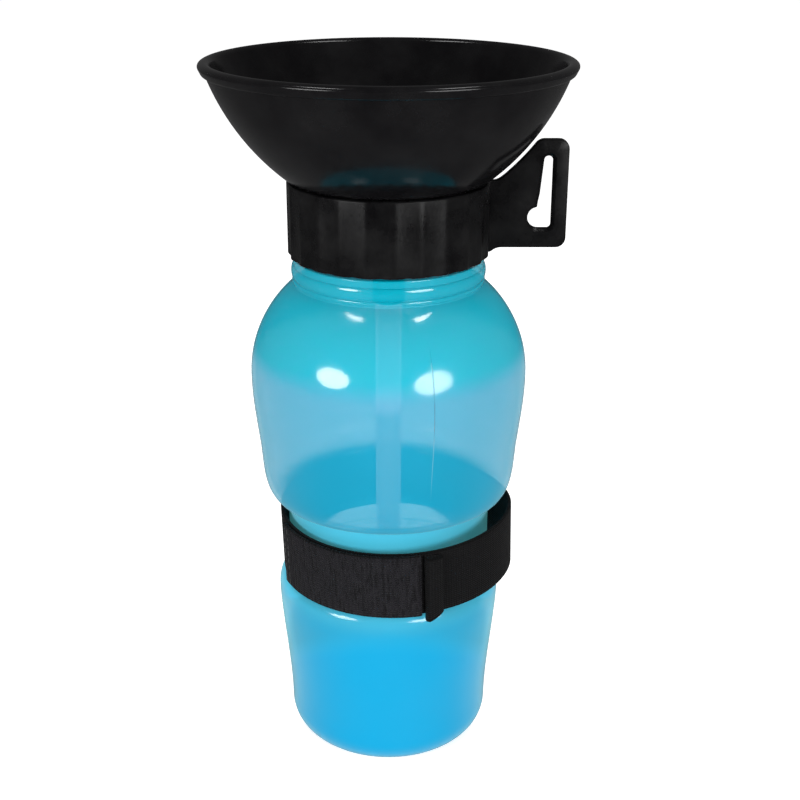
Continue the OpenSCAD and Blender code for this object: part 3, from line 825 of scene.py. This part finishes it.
def bowl_section(h):
    """Section of the bowl with its rim, floor, neck, foot flange, plug and socket."""
    under = h.collar_top + BOWL_GAP
    floor = under + h.floor
    wall_top = h.top - h.rim_height
    low = at(h.bowl_low, under + 0.3 * MM)
    high = at(h.bowl_top, wall_top)
    plug_in = h.plug - h.plug_wall
    plug_low = h.flange_low - h.plug_length
    bore = h.tube + TUBE_GAP
    tube_top = TUBE_BOX[1].z
    inner = [p for p in bulged(low, high, h.bulge, h.wall)
             if floor + 0.6 * MM < p.z < wall_top - 0.3 * MM]
    lip_in = h.bowl_top - h.wall + 0.9 * MM
    section = softened(
        (bore, tube_top, 0), (bore, tube_top - h.socket_length, 0.2),
        (h.socket, tube_top - h.socket_length, 0.3), (h.socket, under, 0.8),
        (plug_in, under, 0.8), (plug_in, plug_low, 0.4),
        (h.plug, plug_low, 0.8), (h.plug, h.flange_low, 0.2),
        (h.flange, h.flange_low, 0.3),
        (h.flange, h.flange_low + h.flange_height, 0.4),
        (h.neck, h.flange_low + h.flange_height, 0.2),
        (h.neck, under, 0.2), (h.bowl_low - 0.8 * MM, under, 0.4),
        (*low.xz, 0))
    section += bulged(low, high, h.bulge, 0)
    section += softened(
        (*high.xz, 0), (h.bowl_top + 1.1 * MM, wall_top + 0.2 * MM, 0.5),
        (h.rim, h.top - 1.2 * MM, 0.7), (h.rim - 1.3 * MM, h.top, 1.0),
        (lip_in, h.top - 0.2 * MM, 1.2), (*inner[-1].xz, 0), steps=8)
    section += reversed(inner[:-1])
    section += swept(inner[0], inner[0] + (inner[0] - inner[2]).normalized() * 1.2 * MM,
                     at(h.neck + 1.4 * MM, floor), at(h.neck - 0.6 * MM, floor), 6)
    return section, floor


def spigot_section(floor, top):
    """The spigot on the bowl's floor with its two ring grooves, from its foot up."""
    radius = 8 * MM
    groove = 6.3 * MM
    half = 0.9 * MM
    port = floor + PORT_RISE
    corners = [(radius + 1 * MM, floor, 0), (radius, floor, 0.2),
               (radius, floor + 0.5 * MM, 0), (radius + 0.5 * MM, floor + 0.9 * MM, 0),
               (radius, floor + 1.3 * MM, 0)]
    for middle in (port - RING_STEP, port + RING_STEP):
        corners += [(radius, middle - half, 0), (groove, middle - half, 0),
                    (groove, middle + half, 0), (radius, middle + half, 0)]
    corners += [(radius, top, 0.4), (0, top, 0)]
    return softened(*corners)


class BOTTLE_OT_build_bowl(bpy.types.Operator):
    """Builds the drinking bowl with its plug, socket, ribs and spigot"""
    bl_idname = "bottle.build_bowl"
    bl_label = "Build Bowl"

    def execute(self, context):
        h = context.scene.head_sizes
        section, floor = bowl_section(h)
        top = floor + 11.2 * MM
        channel = 2.6 * MM
        section += spigot_section(floor, top)
        section += softened(
            (0, floor + 8.1 * MM, 0), (channel, floor + 8.1 * MM, 0),
            (channel, TUBE_BOX[1].z + 0.1 * MM, 0),
            (h.tube + TUBE_GAP, TUBE_BOX[1].z + 0.1 * MM, 0))
        form = spun(section, 192)
        ribs = 6
        under = h.collar_top + BOWL_GAP
        for i in range(ribs):
            size = Vector((h.plug - h.plug_wall - h.socket + 0.4 * MM, 1.4 * MM, 3.4 * MM))
            middle = Vector((h.socket + size.x / 2 - 0.2 * MM, 0, under - size.z / 2 + 0.1 * MM))
            bar = block(form, size, middle)
            turned = Matrix.Rotation(tau * (i + 0.5) / ribs, 3, "Z")
            bmesh.ops.rotate(form, cent=(0, 0, 0), matrix=turned, verts=bar)
        material = gloss_material(context.scene.bottle_finishes)
        bowl = finished("bowl_body", form, material, "bowl", ["bowl"])
        drilled(bowl, Vector((0, -6 * MM, floor + PORT_RISE)), 2 * MM, 6 * MM, "X")
        return {"FINISHED"}


class BOTTLE_OT_build_tube(bpy.types.Operator):
    """Builds the dip tube, the mouth gasket and the dial's seal rings"""
    bl_idname = "bottle.build_tube"
    bl_label = "Build Tube and Seals"

    def execute(self, context):
        h = context.scene.head_sizes
        colours = context.scene.bottle_finishes
        low, high = TUBE_BOX[0].z, TUBE_BOX[1].z
        bore = h.tube - h.tube_wall
        section = softened(
            (bore, low + 1 * MM, 0), (bore, low, 0.15), (h.tube, low, 0.15),
            (h.tube, high, 0.2), (bore, high, 0.2), (bore, low + 1 * MM, 0))
        form = spun(section, 64)
        slant = Vector((5 * MM / 2 / h.tube, 0, -1)).normalized()
        cut = bmesh.ops.bisect_plane(
            form, geom=form.verts[:] + form.edges[:] + form.faces[:], dist=WELD,
            plane_co=(0, 0, low + 2.5 * MM), plane_no=slant, clear_outer=True)
        rims = [e for e in cut["geom_cut"] if isinstance(e, bmesh.types.BMEdge)]
        bmesh.ops.bridge_loops(form, edges=rims)
        finished("dip_tube_wall", form, tube_material(colours, h), "bowl",
                 ["dip_tube"])
        silicone = silicone_material(colours)
        low, high = GASKET_BOX[0].z, GASKET_BOX[1].z
        inner, outer = h.plug + 0.06 * MM, GASKET_BOX[1].x
        ring = softened(
            (inner, (low + high) / 2, 0), (inner, low, 0.3),
            (outer, low, 0.3), (outer, high, 0.3), (inner, high, 0.3),
            (inner, (low + high) / 2, 0))
        finished("gasket_ring", spun(ring, 128), silicone, "gasket",
                 ["mouth_gasket"])
        port = h.collar_top + BOWL_GAP + h.floor + PORT_RISE
        rings = bmesh.new()
        for side in (-1, 1):
            turns = [tau * i / 20 for i in range(20)]
            middle = port + side * RING_STEP
            circle = [at(RING_RADIUS + RING_THICK * cos(a), middle + RING_THICK * sin(a))
                      for a in turns]
            rings = joined(rings, spun(circle, 64, True))
        finished("seal_ring_pair", rings, silicone, "bowl", ["seal_rings"])
        return {"FINISHED"}


# --- The collar and its tab -------------------------------------------------------------

def fluted(form, h):
    """Pushes the collar's outer side in to concave flutes with narrow ridges between."""
    pitch = tau / h.flutes
    half = pitch / 2 * h.flute_share
    depth = h.flute_depth
    away = depth * (2 * h.collar - depth) / (2 * (depth - h.collar * (1 - cos(half))))
    cutter = away - h.collar + depth
    end = h.collar_top - h.flute_end
    for vert in form.verts:
        radius = hypot(vert.co.x, vert.co.y)
        run_out = depth * min(1.0, max(0.0, 1 - (end - vert.co.z) / h.flute_run))
        azimuth = atan2(vert.co.y, vert.co.x) + pi / 2 - h.flute_turn
        off = (azimuth / pitch) % 1 * pitch - pitch / 2
        reach = cutter - run_out
        side = away * sin(off)
        if radius < h.collar - 1.1 * MM or abs(off) >= half or abs(side) >= reach:
            continue
        wall = away * cos(off) - sqrt(reach * reach - side * side)
        if wall < radius:
            vert.co.xy *= wall / radius
            if vert.co.z < h.collar_top - h.collar_height + 1 * MM:
                vert.co.z += (radius - wall) * 0.6


def tab_outline(h):
    """Points round the hanging tab, and round its slot, in the plane y = 0."""
    under = h.collar_top + BOWL_GAP
    edge = [p for p in bulged(at(h.bowl_low, under), at(h.bowl_top, h.top - h.rim_height),
                              h.bulge, -2 * MM, 40)
            if h.collar_top + 0.9 * MM < p.z < h.tab_high - 1.2 * MM]
    root = h.collar - h.collar_wall + 0.8 * MM
    last = edge[-1]
    outline = softened(
        (root, h.collar_top - 6 * MM, 0), (root, h.tab_low - 1.4 * MM, 0),
        (h.collar + 0.3 * MM, h.tab_low - 1.4 * MM, 0.4),
        (h.collar + 2.2 * MM, h.tab_low, 1.2), (h.tab, h.tab_low, 3), (h.tab, h.tab_high, 3),
        (last.x + 1.1 * MM, h.tab_high, 1.4), (*last.xz, 0), steps=8)
    outline += reversed(edge[:-1])
    outline += softened(
        (*edge[0].xz, 0), (h.collar + 2 * MM, h.collar_top - 0.4 * MM, 1.2),
        (root, h.collar_top - 0.4 * MM, 0), (root, h.collar_top - 6 * MM, 0))[1:-1]
    return outline


def slot_outline(h, grow):
    """Points round the slot: a narrow stretch with a round lobe at its lower end."""
    right = h.tab - 4.7 * MM
    half = 1.3 * MM
    middle = right - half
    lobe = at(middle - 2.6 * MM, h.tab_low + 9.1 * MM)
    lobe_radius = 3.1 * MM
    top = lobe.z + 17.3 * MM
    points = []
    for i in range(15):
        a = pi * i / 14
        points.append(at(middle + (half + grow) * cos(a), top + (half + grow) * sin(a)))
    left = right - 2 * half - grow
    lobe_top = lobe.z + lobe_radius
    for out, up in ((0.5, h.slot_flare * 2.4), (0.78, h.slot_flare * 0.9), (0.86, 0.35 * MM)):
        points.append(at(left - h.slot_flare * out, lobe_top + up))
    for i in range(19):
        a = radians(98) + radians(172) * i / 18
        points.append(lobe + at(cos(a), sin(a)) * (lobe_radius + grow))
    for i in range(9):
        a = -pi / 2 + pi / 2 * i / 8
        foot = at(right - 1.2 * MM, lobe.z - lobe_radius + 1.2 * MM)
        points.append(foot + at(cos(a), sin(a)) * (1.2 * MM + grow))
    return points


def shrunk(points, depth):
    """A closed outline moved inwards by depth, for one that runs anticlockwise."""
    count = len(points)
    moved = []
    for i, point in enumerate(points):
        along = (points[(i + 1) % count] - points[i - 1]).normalized()
        moved.append(at(point.x - depth * along.z, point.z + depth * along.x))
    return moved


def tab_form(h):
    """The hanging tab: a flat plate with rounded edges and a bevel round its slot."""
    form = bmesh.new()
    half = h.tab_thick / 2
    edge = 0.5 * MM
    bevel = 1.1 * MM
    outline = tab_outline(h)
    rings = []
    for depth, level in ((0, half - edge), (edge * 0.3, half - edge * 0.3), (edge, half)):
        rings.append((shrunk(outline, depth), level))
    hole = []
    for grow, level in ((0, 0.3 * MM), (bevel * 0.5, half - 0.45 * MM), (bevel, half)):
        hole.append((slot_outline(h, grow), level))
    sides = {}
    for side in (-1, 1):
        loops = []
        for points, level in rings + hole:
            moved = [point + Vector((0, side * level, 0)) for point in points]
            loops.append(drawn_loop(form, moved))
        for chain in (loops[0:3], loops[3:6]):
            for first, second in zip(chain, chain[1:]):
                bmesh.ops.bridge_loops(form, edges=first + second)
        bmesh.ops.triangle_fill(form, edges=loops[2] + loops[5], use_beauty=True,
                                normal=(0, side, 0))
        sides[side] = loops
    bmesh.ops.bridge_loops(form, edges=sides[-1][0] + sides[1][0])
    bmesh.ops.bridge_loops(form, edges=sides[-1][3] + sides[1][3])
    return form


class BOTTLE_OT_build_collar(bpy.types.Operator):
    """Builds the fluted screw collar with its hanging tab"""
    bl_idname = "bottle.build_collar"
    bl_label = "Build Collar"

    def execute(self, context):
        h = context.scene.head_sizes
        low = h.collar_top - h.collar_height
        lid = h.collar_top - h.collar_lid
        bore = h.collar - h.collar_wall
        middle = (low + h.collar_top) / 2
        section = softened(
            (bore, middle, 0), (bore, low, 0.6),
            (h.collar, low, 0.7), (h.collar, h.collar_top, 0.6),
            (h.collar_hole, h.collar_top, 0.3), (h.collar_hole, lid, 0.2),
            (bore, lid, 0.4), (bore, middle, 0))
        form = spun(section, 12 * h.flutes)
        fluted(form, h)
        form = joined(form, tab_form(h))
        material = satin_material(context.scene.bottle_finishes)
        finished("collar_and_tab", form, material, "collar",
                 ["screw_collar"], sharp=32)
        return {"FINISHED"}


# --- The shut-off dial ------------------------------------------------------------------

class BOTTLE_OT_build_dial(bpy.types.Operator):
    """Builds the dial that opens and shuts the water's way into the bowl"""
    bl_idname = "bottle.build_dial"
    bl_label = "Build Dial"

    def execute(self, context):
        h = context.scene.head_sizes
        low = DIAL_BOX[0].z
        top = DIAL_BOX[1].z - 4.4 * MM
        bore = 8.08 * MM
        section = softened(
            (bore, low + 2 * MM, 0), (bore, low, 0.3), (h.dial, low, 0.5),
            (h.dial, top, 1.4), (0, top, 0))
        section += softened(
            (0, top - 2 * MM, 0), (bore, top - 2 * MM, 0.3),
            (bore, low + 2 * MM, 0))
        form = spun(section, 192)
        for vert in form.verts:
            radius = hypot(vert.co.x, vert.co.y)
            if radius > h.dial - 1.5 * MM:
                azimuth = atan2(vert.co.y, vert.co.x)
                vert.co.xy *= 1 - 0.05 * max(0.0, -cos(DIAL_NOTCHES * azimuth)) ** 2
        material = satin_material(context.scene.bottle_finishes)
        cap = finished("dial_cap", form, material, "dial", ["shutoff_dial"])
        drilled(cap, Vector((-8 * MM, 0, low + 5.5 * MM)), 2.2 * MM, 6 * MM, "Y")
        grip = bmesh.new()
        block(grip, (2 * h.dial - 0.4 * MM, 3.6 * MM, 4.7 * MM), (0, 0, top + 2.05 * MM))
        upright = [e for e in grip.edges if abs(e.verts[0].co.z - e.verts[1].co.z) > 1 * MM]
        rounding = {"profile": 0.5, "affect": "EDGES", "material": -1}
        bmesh.ops.bevel(grip, geom=upright, offset=1.7 * MM, segments=6, **rounding)
        crown = [e for e in grip.edges if min(v.co.z for v in e.verts) > top + 4 * MM]
        bmesh.ops.bevel(grip, geom=crown, offset=0.6 * MM, segments=3, **rounding)
        finished("dial_grip", grip, material, "dial")
        return {"FINISHED"}


# --- The strap --------------------------------------------------------------------------

def slack(s, azimuth):
    """Slack of the strap's loop at an angle from +X."""
    return (s.slack_x * cos(azimuth) - s.slack_y * sin(azimuth)
            + s.oval * cos(2 * azimuth))


def strap_radius(s, azimuth):
    """Distance of the strap's middle line from the axis."""
    lean = s.width / 2 * sin(hypot(s.tilt, s.rise))
    tight = min(slack(s, radians(a)) for a in range(0, 360, 5))
    waist = bpy.context.scene.bottle_sizes.waist
    return waist + s.snug + lean + s.thick / 2 - tight + slack(s, azimuth)


def strap_place(s):
    """The tilt and height of the strap."""
    tilt = Matrix.Rotation(-s.tilt, 4, "Y") @ Matrix.Rotation(s.rise, 4, "X")
    return Matrix.Translation((0, 0, s.height)) @ tilt


def tape_section(inner, outer, width, edge, columns=10):
    """A thin upright rectangle with rounded edges, split along its height."""
    half = width / 2
    rows = [-half + edge + (width - 2 * edge) * i / columns for i in range(columns + 1)]
    middle = (inner + outer) / 2
    section = []
    for near, far, heights, way in ((outer, inner, rows, 1), (inner, outer, rows[::-1], -1)):
        end = way * half
        round_end = end - way * edge * 0.25
        section += [at(near, z) for z in heights]
        section += [at(middle + (near - middle) * 0.7, round_end), at(middle, end),
                    at(middle + (far - middle) * 0.7, round_end)]
    return section


def ribbon(s, inner, outer, start, sweep, width, steps, shape=None):
    """A length of tape round the loop, between two distances from its middle line.
    shape(turn, out, up) may move a point further, by (out, up), in metres."""
    section = tape_section(TAPE_BASE + inner, TAPE_BASE + outer, width, 0.35 * MM)
    form = spun(section, steps, True, sweep)
    if sweep < tau:
        ends = [e for e in form.edges if e.is_boundary]
        bmesh.ops.holes_fill(form, edges=ends, sides=len(section) + 1)
    bmesh.ops.remove_doubles(form, verts=form.verts[:], dist=WELD)
    uv = form.loops.layers.uv.new("tape")
    for face in form.faces:
        middle = face.calc_center_median()
        near = atan2(middle.y, middle.x) % tau
        for loop in face.loops:
            turned = atan2(loop.vert.co.y, loop.vert.co.x) % tau
            if turned - near > pi:
                turned -= tau
            if near - turned > pi:
                turned += tau
            loop[uv].uv = (turned * TAPE_RADIUS, loop.vert.co.z)
    place = strap_place(s)
    for vert in form.verts:
        turned = atan2(vert.co.y, vert.co.x) % tau
        out = hypot(vert.co.x, vert.co.y) - TAPE_BASE
        up = vert.co.z
        if shape:
            out, up = shape(turned / sweep if sweep < tau else turned, out, up)
        azimuth = start + turned
        radius = strap_radius(s, azimuth) + out
        vert.co = place @ Vector((radius * cos(azimuth), radius * sin(azimuth), up))
    return form


def stitches(s, out, material):
    """Two rows of stitches over the sewn end of the hook tape."""
    form = bmesh.new()
    place = strap_place(s)
    step = s.width / (STITCHES + 0.5)
    for row in (1.4 * MM, 3.6 * MM):
        azimuth = -pi / 2 + s.start + row / TAPE_BASE
        radius = strap_radius(s, azimuth) + out + 0.05 * MM
        turned = Matrix.Rotation(azimuth, 4, "Z")
        for i in range(STITCHES):
            up = -s.width / 2 + step * (i + 0.75)
            ball = bmesh.ops.create_uvsphere(form, u_segments=10, v_segments=8, radius=0.5)
            flat = Matrix.Diagonal((0.36 * MM, 0.44 * MM, 2.0 * MM, 1))
            where = place @ turned @ Matrix.Translation((radius, 0, up)) @ flat
            bmesh.ops.transform(form, matrix=where, verts=ball["verts"])
    finished("sewn_rows", form, material, "flap")


class BOTTLE_OT_build_strap(bpy.types.Operator):
    """Builds the strap: the loop, the hook tape and its folded pull end"""
    bl_idname = "bottle.build_strap"
    bl_label = "Build Strap"

    def execute(self, context):
        s = context.scene.strap_sizes
        colours = context.scene.bottle_finishes
        edge = s.width / 2
        webbing = tape_material("loop_tape", colours.webbing, 0.85 * MM, 0.7 * MM, 0.25, 0.2,
                                0.12 * MM, edge)
        hooks = tape_material("hook_tape_ribs", colours.hooks, 1.25 * MM, 0.8 * MM, 0.35, 1.9,
                              0.3 * MM, edge)
        half = s.thick / 2
        droop = 2.6 * MM

        def hung(turned, out, up):
            """Lets the loose right rear of the loop hang a little."""
            return out, up - droop * max(0.0, cos(turned - radians(32))) ** 4

        form = ribbon(s, -half, half, 0.0, tau, s.width, 240, hung)
        finished("strap_loop", form, webbing, "strap", ["strap_band"])
        low = half + s.gap
        crease = 0.9 * MM

        def dipped(turn, out, up):
            """Dips in to the crease beside the folded end."""
            near = max(0.0, 1 - (1 - turn) * (s.end - s.start) * TAPE_RADIUS / crease)
            return low + (out - low) * (1 - 0.6 * near * near), up

        def folded(turn, out, up):
            """A thick roll whose lower corner hangs down beside the crease."""
            rise = min(1.0, turn / 0.16)
            roll = 0.45 + 0.55 * sin(pi / 2 * rise) - 0.5 * turn ** 3
            if up < 0:
                up -= (2.6 * MM * (1 - turn) - 1.0 * MM) * min(1.0, -up / (s.width / 2))
            else:
                up -= (1.0 * MM + 0.5 * MM * turn) * up / (s.width / 2)
            return low + (out - low) * roll, up

        form = ribbon(s, low, low + s.hook, -pi / 2 + s.start, s.end - s.start, s.width, 120,
                      dipped)
        finished("hook_band", form, hooks, "flap", ["hook_tape"])
        fold_start = -pi / 2 + s.end + radians(1.6)
        form = ribbon(s, low, low + 2.7 * MM, fold_start, s.fold, s.width + 1.0 * MM, 24, folded)
        finished("folded_end", form, webbing, "flap", ["pull_end"])
        stitches(s, low + s.hook, thread_material(colours))
        return {"FINISHED"}


# --- The stage --------------------------------------------------------------------------

def area_lamp(name, direction, size, power):
    """An oval lamp that shines on the bottle's middle from a direction."""
    aim = Vector((0, 0, 130 * MM))
    data = bpy.data.lights.new(name, "AREA")
    data.shape = "ELLIPSE"
    data.size, data.size_y = size
    data.energy = power
    lamp = linked(name, data)
    lamp.location = aim + Vector(direction).normalized() * LAMP_DISTANCE
    lamp.rotation_euler = (aim - lamp.location).to_track_quat("-Z", "Y").to_euler()


def white_world():
    """A room that is white to the camera and through the bottle, and dimmer as a light."""
    world = bpy.data.worlds.new("room")
    bpy.context.scene.world = world
    world.use_nodes = True
    tree = world.node_tree
    paths = outputs(add(tree, "ShaderNodeLightPath"))
    seen = paths["Is Camera Ray"].math("MAXIMUM", paths["Is Transmission Ray"])
    level = seen * ROOM_SEEN + ROOM_LIGHT + paths["Is Glossy Ray"] * ROOM_GLOSS
    fill(tree.nodes["Background"], {"Color": (1, 1, 1, 1), "Strength": level})


class BOTTLE_OT_build_stage(bpy.types.Operator):
    """Makes the floor, the lamps, the room and the camera"""
    bl_idname = "bottle.build_stage"
    bl_label = "Build Stage"

    def execute(self, context):
        scene = context.scene
        form = bmesh.new()
        bmesh.ops.create_grid(form, x_segments=1, y_segments=1, size=4)
        bmesh.ops.translate(form, vec=(0, 0, -FLOOR_DROP), verts=form.verts[:])
        mesh = meshed("floor", form)
        colour = scene.bottle_finishes.floor
        material, tree, shader = new_material("floor_white", colour, Roughness=0.8)
        paths = outputs(add(tree, "ShaderNodeLightPath"))
        fill(shader, {
            "Specular IOR Level": 0.0,
            "Emission Color": (1, 1, 1, 1),
            "Emission Strength": paths["Is Camera Ray"] * 0.6,
            "Base Color": mixed(paths["Is Glossy Ray"], colour, scaled(colour, 0.16))})
        mesh.materials.append(material)
        floor = linked("floor", mesh)
        for lamp in LAMPS:
            area_lamp(*lamp)
        white_world()
        data = bpy.data.cameras.new("camera")
        data.sensor_width = 36
        data.lens = 60.96
        data.shift_x = 0.0144
        data.shift_y = 0.0121
        camera = linked("camera", data)
        camera.location = CAMERA_PLACE
        camera.rotation_euler = (pi / 2 - CAMERA_PITCH, 0, 0)
        scene.camera = camera
        scene.view_settings.view_transform = "Standard"
        return {"FINISHED"}


# --- The add-on -------------------------------------------------------------------------

OPERATORS = (
    BOTTLE_OT_build_bottle,
    BOTTLE_OT_build_bowl,
    BOTTLE_OT_build_tube,
    BOTTLE_OT_build_collar,
    BOTTLE_OT_build_dial,
    BOTTLE_OT_build_strap,
    BOTTLE_OT_build_stage,
)


class BOTTLE_PT_build(bpy.types.Panel):
    """Lists the sizes, the colours and the steps of the build"""
    bl_idname = "BOTTLE_PT_build"
    bl_label = "Water Bottle"
    bl_space_type = "VIEW_3D"
    bl_region_type = "UI"
    bl_category = "Water Bottle"

    def draw(self, context):
        for group in GROUPS:
            box = self.layout.box()
            values = getattr(context.scene, group)
            for key in values.__annotations__:
                box.prop(values, key)
        for operator in OPERATORS:
            self.layout.operator(operator.bl_idname)


GROUPS = {
    "bottle_sizes": BottleSizes,
    "head_sizes": HeadSizes,
    "strap_sizes": StrapSizes,
    "bottle_finishes": Finishes,
}


def register():
    """Registers the classes and puts the sizes and colours on the scene."""
    for name, group in GROUPS.items():
        bpy.utils.register_class(group)
        setattr(bpy.types.Scene, name, PointerProperty(type=group))
    for item in (*OPERATORS, BOTTLE_PT_build):
        bpy.utils.register_class(item)


def unregister():
    """Takes back what register() did."""
    for item in reversed((*OPERATORS, BOTTLE_PT_build)):
        bpy.utils.unregister_class(item)
    for name, group in GROUPS.items():
        delattr(bpy.types.Scene, name)
        bpy.utils.unregister_class(group)


def main():
    """Builds everything in order."""
    register()
    handling_group()
    tape_group()
    for operator in OPERATORS:
        namespace, name = operator.bl_idname.split(".")
        getattr(getattr(bpy.ops, namespace), name)()


if __name__ == "__main__":
    main()
